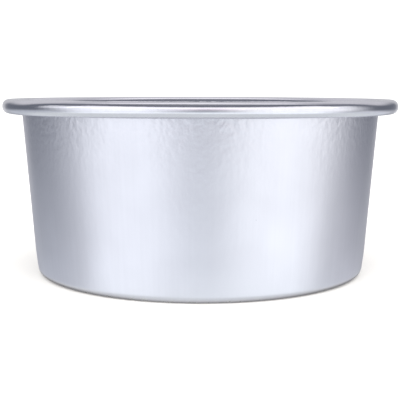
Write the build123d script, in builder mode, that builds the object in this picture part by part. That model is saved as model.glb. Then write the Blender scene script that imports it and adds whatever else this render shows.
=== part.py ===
from build123d import *
from math import atan2, cos, degrees, radians, tan
import os

# Round cake tin, millimetres, +Z up.
# The origin is the centre of the circle that the tin stands on.

# Side wall, measured outside
wall_top_diameter = 154.4  # just under the rim bead, which leaves a 152.4 mm mouth inside
foot_diameter = 143.7  # where the wall's slope, carried down, would meet the shelf
overall_height = 75.3
sheet = 1.0
corner_radius = 3.4  # outside of the lower corner

# Drawn-in foot of the wall, which leans a little more than the wall above it
draw_in_height = 9.0
draw_in_lean = 3.4  # degrees more than the wall
draw_in_bend = 150.0  # inside of the soft bend between the two slopes

# Rim bead, the top of the sheet turned out, rolled down and tucked back to the wall
bead_height = 6.0
bead_overhang = 8.2  # beyond the wall, level with the bead's underside
bead_flat = 0.4  # upright band at the widest place, between the two rolled quarters
mouth_bend = 2.7  # inside of the bend from the wall to the flange
bead_gap = 0.4  # between the rolled-in edge and the wall

# Ledge, the foot of the sheet turned in to carry the base
ledge_width = 9.85  # from the foot circle in to the edge of the hole

# Loose base
base_sheet = 1.2
base_edge_gap = 0.4  # flange's outer edge to the start of the tin's lower corner
centring_gap = 0.7  # flange's last flat ring to the edge of the ledge's hole
panel_rise = 0.3  # underside of the panel above the shelf
step_bend = 0.8  # inside of each bend of the step
step_slope = 30.0  # degrees from level

# The two sheared edges that hands touch are chamfered by this share of their sheet
edge_break_share = 0.25

os.makedirs("parts", exist_ok=True)

# Wall line. The inner face is the outer one moved in by the sheet, square to the slope.
bead_bottom = overall_height - bead_height
foot_radius = foot_diameter / 2
wall_lean = atan2(wall_top_diameter / 2 - foot_radius, bead_bottom)


def outer_radius(height: float) -> float:
    """Radius of the wall's outer face at a height."""
    return foot_radius + height * tan(wall_lean)


def inner_radius(height: float) -> float:
    """Radius of the wall's inner face at a height."""
    return outer_radius(height) - sheet / cos(wall_lean)


# Side wall with its ledge and rim bead, one sheet drawn by its inner face
rim_radius = outer_radius(bead_bottom) + bead_overhang
bead_round = (bead_height - bead_flat) / 2
inner_corner = corner_radius - sheet
ledge_hole_radius = foot_radius - ledge_width
waist_radius = inner_radius(draw_in_height)
lower_lean = wall_lean + radians(draw_in_lean)
inner_foot_radius = waist_radius - (draw_in_height - sheet) * tan(lower_lean)

with BuildPart() as tin_wall:
    with BuildSketch(Plane.XZ):
        with BuildLine():
            FilletPolyline(
                (ledge_hole_radius, sheet),
                (inner_foot_radius, sheet),
                (waist_radius, draw_in_height),
                (inner_radius(overall_height), overall_height),
                (rim_radius, overall_height),
                (rim_radius, bead_bottom),
                (outer_radius(bead_bottom) + bead_gap, bead_bottom),
                radius=[inner_corner, draw_in_bend, mouth_bend + sheet, bead_round, bead_round],
            )
            offset(amount=sheet, side=Side.RIGHT)
        wall_section = make_face()
        ledge_edge = wall_section.vertices().group_by(Axis.X)[0]
        chamfer(ledge_edge, length=sheet * edge_break_share)
    revolve(axis=Axis.Z)

# Loose base: its flange lies on the ledge, and its panel steps down into the hole
ledge_flat_radius = inner_foot_radius - inner_corner * tan((radians(90) - lower_lean) / 2)
base_radius = ledge_flat_radius - base_edge_gap
flange_top = sheet + base_sheet
panel_top = panel_rise + base_sheet
step_angle = radians(step_slope)
outer_bend = step_bend + base_sheet
step_outer_radius = ledge_hole_radius - centring_gap - outer_bend * tan(step_angle / 2)
step_inner_radius = step_outer_radius - (flange_top - panel_top) / tan(step_angle)

with BuildPart() as loose_base:
    with BuildSketch(Plane.XZ):
        with BuildLine():
            FilletPolyline(
                (0, panel_top),
                (step_inner_radius, panel_top),
                (step_outer_radius, flange_top),
                (base_radius, flange_top),
                radius=[step_bend, outer_bend],
            )
            offset(amount=base_sheet, side=Side.RIGHT)
        base_section = make_face()
        base_edge = base_section.vertices().group_by(Axis.X)[-1]
        chamfer(base_edge, length=base_sheet * edge_break_share)
    revolve(axis=Axis.Z)

tin_wall.part.label = "tin_wall"
loose_base.part.label = "loose_base"
export_step(tin_wall.part, "parts/tin_wall.step")
export_step(loose_base.part, "parts/loose_base.step")

print(f"rim {2 * rim_radius:.1f} mm, mouth {2 * inner_radius(bead_bottom):.1f} mm")
print(f"wall leans {degrees(wall_lean):.2f} degrees, base {2 * base_radius:.1f} mm across")
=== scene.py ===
"""Deep round cake tin with a lift-out base, in satin anodised aluminium.

The tin is two formed sheets. The wall is one sheet: a turned-in ledge, a tapered side, a level flange and
a hollow rolled bead. The base is a pressed disc that lies on the ledge. Both are drawn here as surfaces of
revolution around the frame's Z axis, in millimetres, and scaled to metres when their meshes are made.
"""

import logging
import math
from dataclasses import dataclass
from enum import Enum

import bpy
import numpy as np
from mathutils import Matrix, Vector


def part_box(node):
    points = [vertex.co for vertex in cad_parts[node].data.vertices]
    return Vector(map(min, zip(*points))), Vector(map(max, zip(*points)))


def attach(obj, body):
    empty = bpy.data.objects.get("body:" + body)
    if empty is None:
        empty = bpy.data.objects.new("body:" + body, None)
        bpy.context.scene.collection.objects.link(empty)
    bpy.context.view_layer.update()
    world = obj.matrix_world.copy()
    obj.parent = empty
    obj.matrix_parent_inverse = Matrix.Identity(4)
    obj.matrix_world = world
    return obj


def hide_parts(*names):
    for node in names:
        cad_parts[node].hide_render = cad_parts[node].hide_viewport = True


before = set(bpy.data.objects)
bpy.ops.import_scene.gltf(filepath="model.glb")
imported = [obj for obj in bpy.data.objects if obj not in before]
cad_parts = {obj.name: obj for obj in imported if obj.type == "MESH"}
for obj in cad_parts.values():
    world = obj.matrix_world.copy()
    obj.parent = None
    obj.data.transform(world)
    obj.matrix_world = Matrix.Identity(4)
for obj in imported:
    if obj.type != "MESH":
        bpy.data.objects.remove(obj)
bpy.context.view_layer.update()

MM = 0.001
EDGE_BULGE = 0.3  # how far a sheared edge stands out, as a share of its sheet
COLOUR_A, COLOUR_B, COLOUR_OUT = 6, 7, 2  # a colour Mix node's two inputs and its output
log = logging.getLogger("cake_tin")


def linear(hex_colour: str) -> tuple[float, float, float, float]:
    """Turns an sRGB hex colour into linear light.

    Args:
        hex_colour: six hex digits, with or without a leading hash.

    Returns:
        Linear red, green, blue and an alpha of 1.
    """
    digits = hex_colour.lstrip("#")
    srgb = [int(digits[i : i + 2], 16) / 255 for i in (0, 2, 4)]
    light = [c / 12.92 if c <= 0.04045 else ((c + 0.055) / 1.055) ** 2.4 for c in srgb]
    return (light[0], light[1], light[2], 1.0)


def add_node(
    tree: bpy.types.NodeTree,
    kind: str,
    settings: dict[str | int, object] | None = None,
    links: dict[str | int, bpy.types.NodeSocket] | None = None,
) -> bpy.types.Node:
    """Adds a shader node, sets it up and links its inputs.

    Args:
        tree: the node tree that gets the node.
        kind: the node's type without its ShaderNode prefix.
        settings: values for inputs, by name or number, and for the node's own properties.
        links: output sockets that feed inputs, by the input's name or number.

    Returns:
        The new node.
    """
    node = tree.nodes.new("ShaderNode" + kind)
    for key, value in (settings or {}).items():
        if isinstance(key, int) or key in node.inputs:
            node.inputs[key].default_value = value
        else:
            setattr(node, key, value)
    for key, socket in (links or {}).items():
        tree.links.new(socket, node.inputs[key])
    return node


def eased(value: np.ndarray) -> np.ndarray:
    """Eases a share from 0 to 1: three times its square less twice its cube, held between its ends.

    Args:
        value: the shares, of any size.

    Returns:
        The eased shares, from 0 to 1.
    """
    share = np.clip(value, 0.0, 1.0)
    return share * share * (3.0 - 2.0 * share)


@dataclass(frozen=True)
class Section:
    """Points around the half-section of a formed sheet, in millimetres.

    Attributes:
        radius: distance from the axis.
        height: height above the shelf.
        along: distance along the sheet from its inner edge.
        closed: whether the last point joins the first.
    """

    radius: np.ndarray
    height: np.ndarray
    along: np.ndarray
    closed: bool


@dataclass(frozen=True)
class SheetLine:
    """The face line of a formed sheet: straight runs joined by tangent bends.

    Attributes:
        corners: radius and height of each sharp corner, from the inner edge to the outer one.
        bends: the face's bend radius at each corner but the two ends.
        thickness: the sheet's thickness, laid to the right of the face line.
        run_step: longest distance between points on a straight run.
        bend_step: largest turn between points on a bend, in degrees.
    """

    corners: tuple[tuple[float, float], ...]
    bends: tuple[float, ...]
    thickness: float
    run_step: float = 1.5
    bend_step: float = 6.0

    def face(self) -> tuple[np.ndarray, np.ndarray]:
        """Samples the face line and its normals.

        A bend of radius r and turn a starts r tan(a/2) before its corner and is an arc about the point that
        lies r to the side of that start. A run is evenly divided between two bends.

        Returns:
            Points and unit normals on the face's own side, one row each.
        """
        corners = np.array(self.corners)
        runs = np.diff(corners, axis=0)
        heading = np.arctan2(runs[:, 1], runs[:, 0])
        turn = (np.diff(heading) + np.pi) % (2 * np.pi) - np.pi
        reach = np.array(self.bends) * np.tan(np.abs(turn) / 2)
        unit = runs / np.linalg.norm(runs, axis=1)[:, None]
        starts = np.vstack([corners[0], corners[1:-1] + unit[1:] * reach[:, None]])
        stops = np.vstack([corners[1:-1] - unit[:-1] * reach[:, None], corners[-1]])
        points, angles = [], []
        for i, (start, stop) in enumerate(zip(starts, stops)):
            count = max(2, math.ceil(np.linalg.norm(stop - start) / self.run_step) + 1)
            share = np.linspace(0.0, 1.0, count)[:, None]
            points.append(start + (stop - start) * share)
            angles.append(np.full(count, heading[i]))
            if i < len(turn):
                steps = max(2, math.ceil(np.degrees(abs(turn[i])) / self.bend_step))
                course = heading[i] + np.linspace(0.0, turn[i], steps + 1)[1:-1]
                aside = np.sign(turn[i]) * self.bends[i]
                centre = stop + aside * np.array([-np.sin(heading[i]), np.cos(heading[i])])
                points.append(centre - aside * np.column_stack([-np.sin(course), np.cos(course)]))
                angles.append(course)
        course = np.concatenate(angles)
        return np.vstack(points), np.column_stack([-np.sin(course), np.cos(course)])

    def section(self, edge_points: int = 7) -> Section:
        """Lays the back behind the face and rounds the sheared edges.

        The back is the face moved by the thickness against its normal. An edge is half an ellipse across
        the sheet, which stands out by a share of the thickness.

        Args:
            edge_points: points on each edge.

        Returns:
            The section, open where the face starts on the axis and closed elsewhere.
        """
        face, normal = self.face()
        back = face - normal * self.thickness
        along = np.concatenate([[0.0], np.cumsum(np.linalg.norm(np.diff(face, axis=0), axis=1))])
        swing = np.linspace(0.0, np.pi, edge_points + 2)[1:-1, None]

        def edge(index: int, outward: float) -> np.ndarray:
            """Draws half an ellipse from the face round to the back, at one end of the line.

            The middle of the sheet, plus half the thickness times the swing's cosine towards the face and
            the bulge times the swing's sine ahead of the end.

            Args:
                index: the face's point at that end.
                outward: 1 where the line ends, -1 where it starts.

            Returns:
                The edge's points, one row each.
            """
            middle = (face[index] + back[index]) / 2
            ahead = outward * np.array([normal[index][1], -normal[index][0]])
            across = self.thickness / 2 * np.cos(swing) * normal[index]
            return middle + across + self.thickness * EDGE_BULGE * np.sin(swing) * ahead

        rows = [face, edge(-1, 1.0), back[::-1]]
        places = [along, np.full(edge_points, along[-1]), along[::-1]]
        closed = bool(face[0, 0] > self.thickness)
        if closed:
            rows.append(edge(0, -1.0)[::-1])
            places.append(np.zeros(edge_points))
        points = np.vstack(rows)
        return Section(points[:, 0], points[:, 1], np.concatenate(places), closed)


def revolved_mesh(
    name: str,
    section: Section,
    segments: int,
    shift: np.ndarray | None = None,
    attributes: dict[str, np.ndarray] | None = None,
) -> bpy.types.Object:
    """Turns a section about the Z axis into a closed mesh object.

    A point is ((r + s) cos t, (r + s) sin t, z + u), where t is the angle around the axis and s and u are
    the small shifts of that point. A section that starts and ends on the axis gets one point at each pole.

    Args:
        name: the object's name.
        section: the half-section to turn.
        segments: steps around the axis.
        shift: radial and upward shifts in millimetres, shaped (segments, points, 2).
        attributes: point attributes shaped (segments, points) or (segments, points, 3).

    Returns:
        The object, linked to the scene, with smooth outward faces.
    """
    count = len(section.radius)
    angle = np.linspace(0.0, 2 * np.pi, segments, endpoint=False)[:, None]
    moved = np.zeros((segments, count, 2)) if shift is None else shift
    reach = section.radius[None, :] + moved[..., 0]
    rise = section.height[None, :] + moved[..., 1]
    grid = np.stack([reach * np.cos(angle), reach * np.sin(angle), rise], axis=-1)
    ids = np.arange(segments * count).reshape(segments, count)
    if not section.closed:
        grid[:, [0, -1], :2] = 0.0
        ids[:, 0] = ids[0, 0]
        ids[:, -1] = ids[0, -1]
    ring = np.concatenate([ids, ids[:, :1]], axis=1) if section.closed else ids
    turned = np.roll(ring, -1, axis=0)
    quads = np.stack([ring[:, :-1], ring[:, 1:], turned[:, 1:], turned[:, :-1]], axis=-1).reshape(-1, 4)
    used, flat = np.unique(quads, return_inverse=True)
    # Beside a pole two corners of a face are one point, so the face is a triangle.
    faces = [list(dict.fromkeys(quad)) for quad in flat.reshape(-1, 4).tolist()]
    mesh = bpy.data.meshes.new(name)
    mesh.from_pydata(grid.reshape(-1, 3)[used] * MM, [], faces)
    for key, values in (attributes or {}).items():
        wide = values.ndim == 3
        layer = mesh.attributes.new(key, "FLOAT_VECTOR" if wide else "FLOAT", "POINT")
        rows = values.reshape(segments * count, -1)[used]
        layer.data.foreach_set("vector" if wide else "value", rows.ravel())
    mesh.polygons.foreach_set("use_smooth", np.ones(len(mesh.polygons), bool))
    mesh.update()
    piece = bpy.data.objects.new(name, mesh)
    bpy.context.scene.collection.objects.link(piece)
    return piece


class Grain(Enum):
    """How the fine marks of a formed sheet run."""

    DRAWN = "up the side, as the sheet was pulled over the punch"
    ROLLED = "straight across the disc, from the rolling mill"


@dataclass(frozen=True)
class SatinAnodising:
    """Clear anodised aluminium with an etched satin surface.

    The caustic etch leaves fine pits that spread the reflection, so the metal looks silky and not mirror
    bright. The clear oxide takes a little light away and leaves a faint cool tint. Under it the metal keeps
    the marks of its forming: fine lines along the pull and soft puckers where the sheet was gathered.

    Attributes:
        name: the material's name.
        tint: sRGB colour of the reflection.
        clouded: sRGB colour where the oxide is a little thicker.
        bare: sRGB colour where rubbing has thinned the oxide.
        grain: how the fine marks run.
        roughness: of the etched sheet.
        burnished: roughness where the rolling tool pressed the metal smooth.
        pitted: sRGB colour of a small dark pit.
        mark_spacing: between fine forming marks, in millimetres.
        mark_depth: of a fine forming mark, in millimetres.
        mark_squash: how much the pattern of marks is squashed along them, which draws them out.
        mark_octaves: finer octaves in the marks.
        mark_roughness: roughness that the marks add.
        pucker_spacing: between puckers, in millimetres.
        pucker_depth: of a pucker, in millimetres.
        pucker_squash: how much their pattern is squashed up the side.
        pucker_octaves: finer octaves in the puckers.
        etch_spacing: between etched pits, in millimetres.
        etch_depth: of an etched pit, in millimetres.
        cloud_spacing: between clouds of thicker oxide, in millimetres.
        cloud_share: the clouds' part in the tint's pattern, the rest of which is the marks'.
        cloud_range: that pattern's values where the clouded tint starts and is full.
        cloud_roughness: roughness that the clouds add.
        scuff_spacing: between scuffs, in millimetres.
        scuff_squash: how much their pattern is squashed around the tin.
        scuff_octaves: finer octaves in the scuffs.
        scuff_range: the scuff pattern's values where a scuff starts and is full.
        scuff_polish: roughness that a scuff takes away.
        pit_spacing: between the points where a dark pit may lie, in millimetres.
        pit_radius: of a dark pit, in millimetres.
        pit_fade: half of a dark pit's soft edge, as a share of its radius.
        pit_share: of those points that have a pit.
    """

    name: str
    tint: str
    clouded: str
    bare: str
    grain: Grain
    roughness: float
    burnished: float
    pitted: str = "#6E7078"
    mark_spacing: float = 1.3
    mark_depth: float = 0.004
    mark_squash: float = 0.03
    mark_octaves: float = 3.0
    mark_roughness: float = 0.04
    pucker_spacing: float = 2.1
    pucker_depth: float = 0.24
    pucker_squash: float = 0.8
    pucker_octaves: float = 1.0
    etch_spacing: float = 0.45  # real pits are about 0.05 mm apart, drawn coarser so that they show
    etch_depth: float = 0.002
    cloud_spacing: float = 26.0
    cloud_share: float = 0.75
    cloud_range: tuple[float, float] = (0.38, 0.62)
    cloud_roughness: float = 0.06
    scuff_spacing: float = 0.9
    scuff_squash: float = 0.35
    scuff_octaves: float = 3.0
    scuff_range: tuple[float, float] = (0.48, 0.66)
    scuff_polish: float = 0.06
    pit_spacing: float = 11.0
    pit_radius: float = 0.22
    pit_fade: float = 0.5
    pit_share: float = 0.25

    def place(self, tree: bpy.types.NodeTree) -> tuple[bpy.types.NodeSocket, tuple[float, float, float]]:
        """Finds where a point lies on the sheet, in millimetres, and how marks are drawn out there.

        Args:
            tree: the material's nodes.

        Returns:
            The place's socket, and the factors on it that draw a pattern out along the marks.
        """
        if self.grain is Grain.DRAWN:
            unrolled = add_node(tree, "Attribute", {"attribute_name": "unrolled"})
            return unrolled.outputs["Vector"], (1.0, 1.0, self.mark_squash)
        metres = add_node(tree, "TexCoord").outputs["Object"]
        scaled = add_node(tree, "VectorMath", {"operation": "SCALE", "Scale": 1.0 / MM}, {0: metres})
        return scaled.outputs[0], (self.mark_squash, 1.0, 1.0)

    def pattern(
        self,
        tree: bpy.types.NodeTree,
        place: bpy.types.NodeSocket,
        spacing: float,
        squash: tuple[float, float, float] = (1.0, 1.0, 1.0),
        octaves: float = 2.0,
    ) -> bpy.types.NodeSocket:
        """Lays an uneven pattern of a real spacing on the sheet.

        Args:
            tree: the material's nodes.
            place: the point's place in millimetres.
            spacing: distance between the pattern's features in millimetres.
            squash: factors on the place, below 1 where the pattern is drawn out.
            octaves: how many finer octaves it has.

        Returns:
            A value about a middle of a half.
        """
        drawn_out = add_node(tree, "VectorMath", {"operation": "MULTIPLY", 1: squash}, {0: place})
        scale = {"Scale": 1.0 / spacing, "Detail": octaves}
        return add_node(tree, "TexNoise", scale, {"Vector": drawn_out.outputs[0]}).outputs["Fac"]

    def layered(
        self,
        tree: bpy.types.NodeTree,
        layers: list[tuple[bpy.types.NodeSocket, float]],
        base: bpy.types.NodeSocket | None = None,
    ) -> bpy.types.NodeSocket:
        """Adds layers up: the base, if there is one, plus each layer's value times its factor.

        Args:
            tree: the material's nodes.
            layers: each layer's value and factor.
            base: what the layers are added to.

        Returns:
            The total's socket.
        """
        total = base
        for value, factor in layers:
            links = {0: value} if total is None else {0: value, 2: total}
            total = add_node(tree, "Math", {"operation": "MULTIPLY_ADD", 1: factor, 2: 0.0}, links).outputs[0]
        return total

    def pits(self, tree: bpy.types.NodeTree, place: bpy.types.NodeSocket) -> bpy.types.NodeSocket:
        """Scatters a few small dark pits, at some of the points of an uneven net.

        A pit's share is 1 near its point and 0 beyond its radius, with a soft edge between, times 1 at the
        points whose random value is high enough and 0 at the others.

        Args:
            tree: the material's nodes.
            place: the point's place in millimetres.

        Returns:
            The share of pit in a point, from 0 to 1.
        """
        net = add_node(tree, "TexVoronoi", {"Scale": 1.0 / self.pit_spacing}, {"Vector": place})
        radius = self.pit_radius / self.pit_spacing
        span = {"From Min": (1 + self.pit_fade) * radius, "From Max": (1 - self.pit_fade) * radius}
        near = add_node(tree, "MapRange", span, {"Value": net.outputs["Distance"]}).outputs[0]
        chance = add_node(tree, "SeparateColor", links={0: net.outputs["Color"]}).outputs[0]
        kept = add_node(tree, "Math", {"operation": "GREATER_THAN", 1: 1 - self.pit_share}, {0: chance}).outputs[0]
        return add_node(tree, "Math", {"operation": "MULTIPLY"}, {0: near, 1: kept}).outputs[0]

    def material(self) -> bpy.types.Material:
        """Builds the material's nodes.

        Returns:
            The material, which reads the piece's burnish, gathered and rub attributes.
        """
        material = bpy.data.materials.new(self.name)
        material.use_nodes = True
        tree = material.node_tree
        tree.nodes.clear()
        place, drawn_out = self.place(tree)
        marks = self.pattern(tree, place, self.mark_spacing, drawn_out, self.mark_octaves)
        clouds = self.pattern(tree, place, self.cloud_spacing)
        puckers = self.pattern(tree, place, self.pucker_spacing, (1.0, 1.0, self.pucker_squash), self.pucker_octaves)
        etch = self.pattern(tree, place, self.etch_spacing)
        sideways = (self.scuff_squash, self.scuff_squash, 1.0)
        scuffs = self.pattern(tree, place, self.scuff_spacing, sideways, self.scuff_octaves)
        burnish, gathered, rub = (
            add_node(tree, "Attribute", {"attribute_name": name}).outputs["Fac"]
            for name in ("burnish", "gathered", "rub")
        )

        # Scuffs show only where the tin is rubbed, so the rubbed share is cut up by the scuff pattern.
        start, full = self.scuff_range
        scuffed = add_node(tree, "MapRange", {"From Min": start, "From Max": full}, {"Value": scuffs}).outputs[0]
        worn = add_node(tree, "Math", {"operation": "MULTIPLY"}, {0: scuffed, 1: rub}).outputs[0]

        shade = self.layered(tree, [(clouds, self.cloud_share), (marks, 1 - self.cloud_share)])
        start, full = self.cloud_range
        clouded = add_node(tree, "MapRange", {"From Min": start, "From Max": full}, {"Value": shade}).outputs[0]
        tints = {"data_type": "RGBA", COLOUR_A: linear(self.tint), COLOUR_B: linear(self.clouded)}
        colour = add_node(tree, "Mix", tints, {0: clouded}).outputs[COLOUR_OUT]
        for share, other in ((worn, self.bare), (self.pits(tree, place), self.pitted)):
            over = {"data_type": "RGBA", COLOUR_B: linear(other)}
            colour = add_node(tree, "Mix", over, {0: share, COLOUR_A: colour}).outputs[COLOUR_OUT]

        # The clouds and the marks have a middle of a half, so half of what they add is taken off first.
        added = (self.cloud_roughness + self.mark_roughness) / 2
        ends = {"To Min": self.roughness - added, "To Max": self.burnished - added}
        smooth = add_node(tree, "MapRange", ends, {"Value": burnish}).outputs[0]
        layers = [(clouds, self.cloud_roughness), (marks, self.mark_roughness), (worn, -self.scuff_polish)]
        rough = self.layered(tree, layers, smooth)

        puckered = add_node(tree, "Math", {"operation": "MULTIPLY"}, {0: puckers, 1: gathered}).outputs[0]
        layers = [(etch, self.etch_depth), (marks, self.mark_depth), (puckered, self.pucker_depth)]
        # The depths are in millimetres, so a height of 1 stands one millimetre out.
        bump = add_node(tree, "Bump", {"Distance": MM}, {"Height": self.layered(tree, layers)})

        metal = add_node(
            tree,
            "BsdfPrincipled",
            {"Metallic": 1.0},
            {"Base Color": colour, "Roughness": rough, "Normal": bump.outputs["Normal"]},
        )
        add_node(tree, "OutputMaterial", links={"Surface": metal.outputs["BSDF"]})
        return material


@dataclass
class TinWall:
    """The wall sheet: ledge, lower corner, tapered side, flange and rolled bead.

    The rim's radius and the overall height come from the frame. The rest are the sheet's own sizes, in
    millimetres unless they say otherwise.

    Attributes:
        node: the node that this sheet stands for.
        sheet: the sheet's thickness.
        corner_radius: outside of the lower corner.
        draw_in_height: below which the side leans more.
        draw_in_lean: how much more it leans there, in degrees.
        draw_in_bend: inside of the soft bend between the two slopes.
        bead_height: of the rolled bead.
        bead_overhang: beyond the wall, level with the bead's underside.
        bead_flat: upright band at the widest place, between the two rolled quarters.
        mouth_bend: inside of the bend from the wall to the flange.
        bead_gap: between the rolled-in edge and the wall.
        foot_diameter: where the wall's slope, carried down, would meet the shelf.
        ledge_width: from the foot circle in to the edge of the hole.
        gathered_reach: how far below the bead the puckers fade to about a third.
        gathered_rest: the share of the puckers' depth that stays all the way down.
        brim_wear: how much of the foot's rubbing the brim has.
        out_of_round: how much the mouth's radius changes around it.
        oval_turn: where its longest radius is, as twice the angle around, in radians.
        bead_unevenness: how far the bead wavers.
        waver_turns: how often around each of the waver's sines comes back.
        segments: steps around the axis.
        finish: the sheet's finish.
    """

    node: str = "tin_wall"
    sheet: float = 1.0
    corner_radius: float = 3.4
    draw_in_height: float = 9.0
    draw_in_lean: float = 3.4
    draw_in_bend: float = 150.0
    bead_height: float = 6.0
    bead_overhang: float = 8.2
    bead_flat: float = 0.4
    mouth_bend: float = 2.7
    bead_gap: float = 0.4
    foot_diameter: float = 143.7
    ledge_width: float = 9.85
    gathered_reach: float = 11.0
    gathered_rest: float = 0.12
    brim_wear: float = 0.5
    out_of_round: float = 0.05
    oval_turn: float = 0.7
    bead_unevenness: float = 0.02
    waver_turns: tuple[int, ...] = (7, 11, 17)
    segments: int = 384
    finish: SatinAnodising = SatinAnodising(
        name="satin_anodised_drawn_aluminium",
        tint="#DFDDE3",
        clouded="#D9D7DD",
        bare="#E3E2E3",
        grain=Grain.DRAWN,
        roughness=0.31,
        burnished=0.14,
    )

    def __post_init__(self) -> None:
        """Reads the rim's radius and the height from the frame, and works out the wall's slopes."""
        high = np.array(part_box(self.node)[1]) / MM
        self.rim_radius = float(high[0])
        self.height = float(high[2])
        self.bead_bottom = self.height - self.bead_height
        top_radius = self.rim_radius - self.bead_overhang
        self.lean = math.atan2(top_radius - self.foot_diameter / 2, self.bead_bottom)
        self.lower_lean = self.lean + math.radians(self.draw_in_lean)

    def outer(self, height: float) -> float:
        """Radius of the wall's outer face at a height."""
        return self.foot_diameter / 2 + height * math.tan(self.lean)

    def inner(self, height: float) -> float:
        """Radius of the wall's inner face at a height."""
        return self.outer(height) - self.sheet / math.cos(self.lean)

    def line(self) -> SheetLine:
        """Draws the sheet's inner face, from the ledge's edge to the tucked-in edge of the bead.

        Returns:
            The face line, with the sheet on its outer side.
        """
        roll = (self.bead_height - self.bead_flat) / 2
        waist = self.inner(self.draw_in_height)
        return SheetLine(
            corners=(
                (self.foot_diameter / 2 - self.ledge_width, self.sheet),
                (waist - (self.draw_in_height - self.sheet) * math.tan(self.lower_lean), self.sheet),
                (waist, self.draw_in_height),
                (self.inner(self.height), self.height),
                (self.rim_radius, self.height),
                (self.rim_radius, self.bead_bottom),
                (self.outer(self.bead_bottom) + self.bead_gap, self.bead_bottom),
            ),
            bends=(self.corner_radius - self.sheet, self.draw_in_bend, self.mouth_bend + self.sheet, roll, roll),
            thickness=self.sheet,
        )

    def unevenness(self, section: Section, angle: np.ndarray) -> np.ndarray:
        """Works out small departures from a true circle.

        The mouth is a little oval, more so with height: the share of the height squared times the cosine of
        twice the angle. The bead also wavers: the mean of a few sines of whole turns around.

        Args:
            section: the sheet's section.
            angle: the angle of each step around the axis, in a column.

        Returns:
            Radial and upward shifts, shaped (segments, points, 2).
        """
        share = np.clip(section.height / self.height, 0.0, 1.0)[None, :] ** 2
        bead = eased(section.radius - self.outer(self.bead_bottom))[None, :]
        oval = self.out_of_round * np.cos(2 * angle - self.oval_turn) * share
        sines = [np.sin(turns * angle + lag) for lag, turns in enumerate(self.waver_turns)]
        waver = self.bead_unevenness * np.mean(sines, axis=0)
        return np.stack([oval + waver * bead, waver * bead], axis=-1)

    def dressing(self, section: Section, angle: np.ndarray) -> dict[str, np.ndarray]:
        """Works out the attributes that the finish reads.

        The unrolled place is a circle of the wall's middle radius with the distance along the sheet for its
        height. The burnish eases in over one thickness past the shoulder, where the sheet turns out. The
        gathered share falls below the shoulder as e to the minus distance over its reach. The rub eases in
        towards the shelf and towards the widest part of the brim.

        Args:
            section: the sheet's section.
            angle: the angle of each step around the axis, in a column.

        Returns:
            The attributes by name, shaped (segments, points), with 3 more numbers each for the place.
        """
        shape = (self.segments, len(section.along))
        shoulder = section.along[np.argmax(section.height > self.height - self.mouth_bend - self.sheet)]
        burnish = eased((section.along - shoulder) / self.sheet)
        fading = np.exp((section.along - shoulder) / self.gathered_reach) * (1 - burnish)
        foot = eased((self.corner_radius - section.height) / self.corner_radius)
        brim = eased((section.radius - self.rim_radius + self.sheet) / self.sheet)
        middle = self.outer(self.height / 2)
        place = (middle * np.cos(angle), middle * np.sin(angle), section.along)
        return {
            "unrolled": np.stack([np.broadcast_to(values, shape) for values in place], axis=-1),
            "burnish": np.broadcast_to(burnish, shape),
            "gathered": np.broadcast_to(self.gathered_rest + (1 - self.gathered_rest) * fading, shape),
            "rub": np.broadcast_to(np.maximum(foot, self.brim_wear * brim), shape),
        }

    def build(self) -> bpy.types.Object:
        """Makes the wall's mesh, dresses it and puts it in the place of its node.

        Returns:
            The wall's object.
        """
        section = self.line().section()
        angle = np.linspace(0.0, 2 * np.pi, self.segments, endpoint=False)[:, None]
        shift, dressing = self.unevenness(section, angle), self.dressing(section, angle)
        piece = revolved_mesh("tin_wall_sheet", section, self.segments, shift, dressing)
        piece.data.materials.append(self.finish.material())
        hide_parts(self.node)
        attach(piece, "tin")
        return piece


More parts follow.
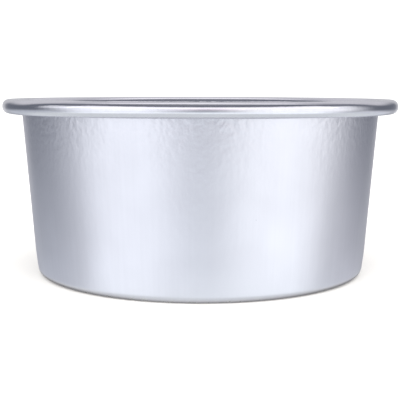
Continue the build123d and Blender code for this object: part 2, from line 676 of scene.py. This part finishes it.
@dataclass
class LooseBase:
    """The pressed base disc: panel, slanted step and the flange that lies on the ledge.

    Its radius and its heights come from the frame. The rest are its own sizes, in millimetres unless they
    say otherwise.

    Attributes:
        wall: the wall whose ledge carries it.
        node: the node that this disc stands for.
        sheet: the sheet's thickness.
        centring_gap: flange's last flat ring to the edge of the ledge's hole.
        step_bend: inside of each bend of the step.
        step_slope: of the step, in degrees from level.
        run_step: longest distance between points on a straight run.
        edge_burnish: how far its edge is pressed smooth, as a share.
        segments: steps around the axis.
        finish: the disc's finish.
    """

    wall: TinWall
    node: str = "loose_base"
    sheet: float = 1.2
    centring_gap: float = 0.7
    step_bend: float = 0.8
    step_slope: float = 30.0
    run_step: float = 2.5
    edge_burnish: float = 0.5
    segments: int = 256
    finish: SatinAnodising = SatinAnodising(
        name="satin_anodised_pressed_aluminium",
        tint="#DDDBE2",
        clouded="#D6D5DC",
        bare="#E3E2E3",
        grain=Grain.ROLLED,
        roughness=0.34,
        burnished=0.26,
    )

    def line(self) -> SheetLine:
        """Draws the disc's top face, from its middle to the flange's edge.

        Returns:
            The face line, with the sheet under it.
        """
        low, high = (np.array(corner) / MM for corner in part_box(self.node))
        flange_top, panel_top = float(high[2]), float(low[2]) + self.sheet
        slope = math.radians(self.step_slope)
        hole = self.wall.foot_diameter / 2 - self.wall.ledge_width
        step_outer = hole - self.centring_gap - (self.step_bend + self.sheet) * math.tan(slope / 2)
        return SheetLine(
            corners=(
                (0.0, panel_top),
                (step_outer - (flange_top - panel_top) / math.tan(slope), panel_top),
                (step_outer, flange_top),
                (float(high[0]) - EDGE_BULGE * self.sheet, flange_top),
            ),
            bends=(self.step_bend, self.step_bend + self.sheet),
            thickness=self.sheet,
            run_step=self.run_step,
        )

    def build(self) -> bpy.types.Object:
        """Makes the base's mesh, dresses it and puts it in the place of its node.

        The rub eases in over one thickness towards the disc's edge, and nothing is gathered on it.

        Returns:
            The base's object.
        """
        section = self.line().section()
        shape = (self.segments, len(section.radius))
        edge = eased((section.radius - section.radius.max() + self.sheet) / self.sheet)
        dressing = {
            "burnish": np.broadcast_to(self.edge_burnish * edge, shape),
            "gathered": np.zeros(shape),
            "rub": np.broadcast_to(edge, shape),
        }
        piece = revolved_mesh("loose_base_disc", section, self.segments, attributes=dressing)
        piece.data.materials.append(self.finish.material())
        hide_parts(self.node)
        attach(piece, "base")
        return piece


@dataclass(frozen=True)
class LightPanel:
    """A soft light or reflector as the tin sees it, in degrees around and above it.

    Attributes:
        name: what it is and where it stands.
        azimuth: 0 towards the camera, positive to its right.
        elevation: above the horizon.
        width: from edge to edge around the tin.
        height: from edge to edge up and down.
        softness: how far an edge fades.
        radiance: brightness.
        tint: sRGB colour.
    """

    name: str
    azimuth: float
    elevation: float
    width: float
    height: float
    softness: float
    radiance: float
    tint: str


@dataclass(frozen=True)
class FloorLight:
    """A wide distant light for the floor, kept out of the metal's reflections.

    Attributes:
        name: the light's name.
        azimuth: 0 towards the camera, positive to its right, in degrees.
        elevation: above the horizon, in degrees.
        spread: how wide it looks, in degrees.
        irradiance: in watts a square metre.
    """

    name: str
    azimuth: float
    elevation: float
    spread: float
    irradiance: float


@dataclass
class Studio:
    """Pale floor, soft light and the camera.

    Attributes:
        distance: from the tin's axis to the camera, in millimetres.
        eye: the camera's height above the floor, in millimetres.
        pitch: how far the camera looks down, in radians.
        turn: how far it looks to its left, in radians.
        roll: how far it leans, in radians.
        focal: the lens's focal length in pixels of the picture.
        frame_pixels: the picture's width in pixels.
        sensor: the sensor's width in millimetres.
        nearest: the least distance that the camera sees, in metres.
        floor_size: the floor's side in millimetres.
        floor_tone: sRGB colour of the board.
        shade: brightness of the painted shade in the ring of floor by the foot, as the metal shows it.
        shade_ring: radii where that shade starts to fade and is gone, in millimetres.
        shade_squeeze: how much nearer a place at the side of the tin counts in that ring.
        room: brightness of the room around.
        room_tint: sRGB colour of the room.
        table: brightness of the table and floor below, as the metal shows them.
        table_tint: sRGB colour of the table.
        table_edge: elevation of the table's far edge, in degrees.
        table_softness: how far that edge fades, in degrees.
        backdrop: brightness of the white behind the tin, which only the camera sees.
        panels: the lights and reflectors around.
        floor_light: the light on the floor.
    """

    distance: float = 397.6
    eye: float = 80.55
    pitch: float = 0.1256
    turn: float = 0.0004
    roll: float = -0.002
    focal: float = 896.0
    frame_pixels: float = 400.0
    sensor: float = 36.0
    nearest: float = 0.01
    floor_size: float = 8000.0
    floor_tone: str = "#E9E7E2"
    shade: float = 0.28
    shade_ring: tuple[float, float] = (69.5, 72.5)
    shade_squeeze: float = 0.965
    room: float = 0.22
    room_tint: str = "#E2EBFF"
    table: float = 0.89
    table_tint: str = "#F5FCFF"
    table_edge: float = -22.0
    table_softness: float = 24.0
    backdrop: float = 1.2
    # Each panel's name, azimuth, elevation, width, height, softness, radiance and tint.
    panels: tuple[LightPanel, ...] = (
        LightPanel("front_bank", 2.0, 28.0, 160.0, 30.0, 6.0, 0.77, "#FFFDFF"),
        LightPanel("front_low", 5.0, 14.0, 41.0, 25.0, 18.0, 0.42, "#FFEAF3"),
        LightPanel("left_wing", -88.0, 18.0, 26.0, 24.0, 8.0, 0.55, "#FDFDFF"),
        LightPanel("right_wing", 87.0, 22.0, 24.0, 16.0, 8.0, 0.36, "#FDFDFF"),
        LightPanel("left_card", -47.0, 2.0, 71.0, 46.0, 51.0, 1.26, "#F8FCFF"),
        LightPanel("right_card", 57.0, 3.0, 79.0, 41.0, 43.0, 1.18, "#FDFFFF"),
        LightPanel("left_table", -41.0, -22.0, 77.0, 12.0, 25.0, 0.37, "#EFFAFF"),
        LightPanel("right_table", 37.0, -23.0, 83.0, 25.0, 30.0, 0.55, "#F2FCFF"),
        LightPanel("left_side", -121.0, -15.0, 58.0, 12.0, 16.0, 0.38, "#F4FAFF"),
        LightPanel("right_side", 127.0, -17.0, 48.0, 14.0, 17.0, 0.43, "#FBFCFF"),
        LightPanel("back_table", 181.0, -9.0, 64.0, 20.0, 26.0, 0.28, "#FFFFFF"),
        LightPanel("ceiling", 0.0, 90.0, 400.0, 56.0, 24.0, 0.12, "#FFFDFA"),
        LightPanel("back_overhead", 177.0, 73.0, 147.0, 40.0, 33.0, 0.9, "#FFFDFF"),
        LightPanel("back_high", 180.0, 31.0, 117.0, 31.0, 17.0, 0.55, "#FFFDFD"),
        LightPanel("back_low", 182.0, 3.0, 58.0, 24.0, 12.0, 0.35, "#FFFCFA"),
    )
    floor_light: FloorLight = FloorLight("floor_light", azimuth=4.0, elevation=50.0, spread=120.0, irradiance=4.8)

    def floor_material(self) -> bpy.types.Material:
        """Builds the floor's board and what the metal shows of it.

        The board is matt white, so it gives the eye an even tone with soft shade and no gloss. The world
        below the horizon stands in for it in the metal. Only a ring of floor by the foot shows there itself, as
        a glow with painted shade: dim under the lower corner and brightening away from the tin. The painted
        shade reaches further out at the sides, where the tin would keep off the light from the front.

        Returns:
            The floor's material.
        """
        material = bpy.data.materials.new("matt_white_board")
        material.use_nodes = True
        tree = material.node_tree
        tree.nodes.clear()
        board = add_node(tree, "BsdfDiffuse", {"Color": linear(self.floor_tone)})
        # Painted shade: for glossy rays the ring by the foot is a glow, dim by the foot and as bright as the table
        # further out, not a lit floor.
        middle = add_node(tree, "TexCoord").outputs["Object"]
        squeeze = {"operation": "MULTIPLY", 1: (self.shade_squeeze, 1.0, 1.0)}
        squeezed = add_node(tree, "VectorMath", squeeze, {0: middle}).outputs[0]
        away = add_node(tree, "VectorMath", {"operation": "LENGTH"}, {0: squeezed}).outputs["Value"]
        span = {"From Min": self.shade_ring[0] * MM, "From Max": self.shade_ring[1] * MM}
        fade = add_node(tree, "MapRange", {**span, "To Min": self.shade, "To Max": self.table}, {"Value": away})
        painted_shade = add_node(tree, "Emission", links={"Strength": fade.outputs[0]})
        clear = add_node(tree, "BsdfTransparent")
        beyond = add_node(tree, "MapRange", span, {"Value": away}).outputs[0]
        ring = add_node(tree, "MixShader", links={0: beyond, 1: painted_shade.outputs[0], 2: clear.outputs[0]})
        ray = add_node(tree, "LightPath").outputs["Is Glossy Ray"]
        shown = add_node(tree, "MixShader", links={0: ray, 1: board.outputs[0], 2: ring.outputs[0]})
        add_node(tree, "OutputMaterial", links={"Surface": shown.outputs[0]})
        return material

    def build_floor(self) -> None:
        """Lays a plain floor, one square far wider than the view."""
        half = self.floor_size / 2 * MM
        mesh = bpy.data.meshes.new("floor")
        mesh.from_pydata([(-half, -half, 0), (half, -half, 0), (half, half, 0), (-half, half, 0)], [], [(0, 1, 2, 3)])
        mesh.materials.append(self.floor_material())
        floor = bpy.data.objects.new("floor", mesh)
        floor.visible_shadow = False
        bpy.context.scene.collection.objects.link(floor)

    def build_floor_light(self) -> None:
        """Lights the floor from in front and above, so that it goes white away from the tin."""
        light = self.floor_light
        data = bpy.data.lights.new(light.name, "SUN")
        data.energy = light.irradiance
        data.angle = math.radians(light.spread)
        source = bpy.data.objects.new(light.name, data)
        source.rotation_euler = (math.radians(90.0 - light.elevation), 0.0, math.radians(light.azimuth))
        source.visible_glossy = False
        bpy.context.scene.collection.objects.link(source)

    def share_inside(
        self, tree: bpy.types.NodeTree, angle: bpy.types.NodeSocket, middle: float, size: float, softness: float
    ) -> bpy.types.NodeSocket:
        """Finds how far an angle lies inside a soft-edged span.

        Args:
            tree: the world's nodes.
            angle: the angle, in radians.
            middle: the span's middle, in degrees.
            size: the span's size, in degrees.
            softness: how far the span's edges fade, in degrees.

        Returns:
            The share's socket: 1 inside, easing to 0 outside.
        """
        off = add_node(tree, "Math", {"operation": "SUBTRACT", 1: math.radians(middle)}, {0: angle})
        turned = add_node(tree, "Math", {"operation": "WRAP", 1: math.pi, 2: -math.pi}, {0: off.outputs[0]})
        away = add_node(tree, "Math", {"operation": "ABSOLUTE"}, {0: turned.outputs[0]})
        span = {
            "interpolation_type": "SMOOTHSTEP",
            "From Min": math.radians((size + softness) / 2),
            "From Max": math.radians((size - softness) / 2),
        }
        return add_node(tree, "MapRange", span, {"Value": away.outputs[0]}).outputs["Result"]

    def build_light(self) -> None:
        """Builds the world around the tin.

        It is white to the camera. To everything else it is a dim cool room over a pale table, with soft
        panels of light around. A panel's share is the product of its shares around and above.
        """
        world = bpy.data.worlds.new("studio")
        bpy.context.scene.world = world
        world.use_nodes = True
        tree = world.node_tree
        tree.nodes.clear()
        direction = add_node(tree, "TexCoord").outputs["Generated"]
        axes = add_node(tree, "SeparateXYZ", links={0: direction})
        ahead = add_node(tree, "Math", {"operation": "MULTIPLY", 1: -1.0}, {0: axes.outputs["Y"]}).outputs[0]
        around = add_node(tree, "Math", {"operation": "ARCTAN2"}, {0: axes.outputs["X"], 1: ahead}).outputs[0]
        above = add_node(tree, "Math", {"operation": "ARCSINE"}, {0: axes.outputs["Z"]}).outputs[0]
        low = self.share_inside(tree, above, -90.0, 2 * (90.0 + self.table_edge), self.table_softness)
        tints = {"data_type": "RGBA", COLOUR_A: linear(self.room_tint), COLOUR_B: linear(self.table_tint)}
        tint = add_node(tree, "Mix", tints, {0: low}).outputs[COLOUR_OUT]
        strength = add_node(tree, "MapRange", {"To Min": self.room, "To Max": self.table}, {"Value": low}).outputs[0]
        level = add_node(tree, "VectorMath", {"operation": "SCALE"}, {0: tint, "Scale": strength}).outputs[0]
        for panel in self.panels:
            wide = self.share_inside(tree, around, panel.azimuth, panel.width, panel.softness)
            tall = self.share_inside(tree, above, panel.elevation, panel.height, panel.softness)
            share = add_node(tree, "Math", {"operation": "MULTIPLY"}, {0: wide, 1: tall}).outputs[0]
            glow = [panel.radiance * channel for channel in linear(panel.tint)[:3]]
            sum_up = {"operation": "MULTIPLY_ADD", 1: glow}
            level = add_node(tree, "VectorMath", sum_up, {0: share, 2: level}).outputs[0]
        light = add_node(tree, "Background", links={"Color": level}).outputs[0]
        white = add_node(tree, "Background", {"Color": linear("#FFFFFF"), "Strength": self.backdrop}).outputs[0]
        ray = add_node(tree, "LightPath").outputs["Is Camera Ray"]
        seen = add_node(tree, "MixShader", links={0: ray, 1: light, 2: white}).outputs[0]
        add_node(tree, "OutputWorld", links={"Surface": seen})

    def build_camera(self) -> None:
        """Sets the camera in front of the tin, a little above its rim and tilted down."""
        data = bpy.data.cameras.new("camera")
        data.sensor_width = self.sensor
        data.lens = self.focal * self.sensor / self.frame_pixels
        data.clip_start = self.nearest
        camera = bpy.data.objects.new("camera", data)
        bpy.context.scene.collection.objects.link(camera)
        camera.location = (0.0, -self.distance * MM, self.eye * MM)
        camera.rotation_euler = (math.pi / 2 - self.pitch, self.roll, self.turn)
        bpy.context.scene.camera = camera
        bpy.context.scene.view_settings.view_transform = "Standard"


def main() -> None:
    """Builds the tin and its studio, and reports each piece."""
    logging.basicConfig(level=logging.INFO, format="%(name)s: %(message)s")
    wall = TinWall()
    for part in (wall, LooseBase(wall)):
        piece = part.build()
        log.info("%s: %d faces", piece.name, len(piece.data.polygons))
    studio = Studio()
    studio.build_floor()
    studio.build_light()
    studio.build_floor_light()
    studio.build_camera()


if __name__ == "__main__":
    main()
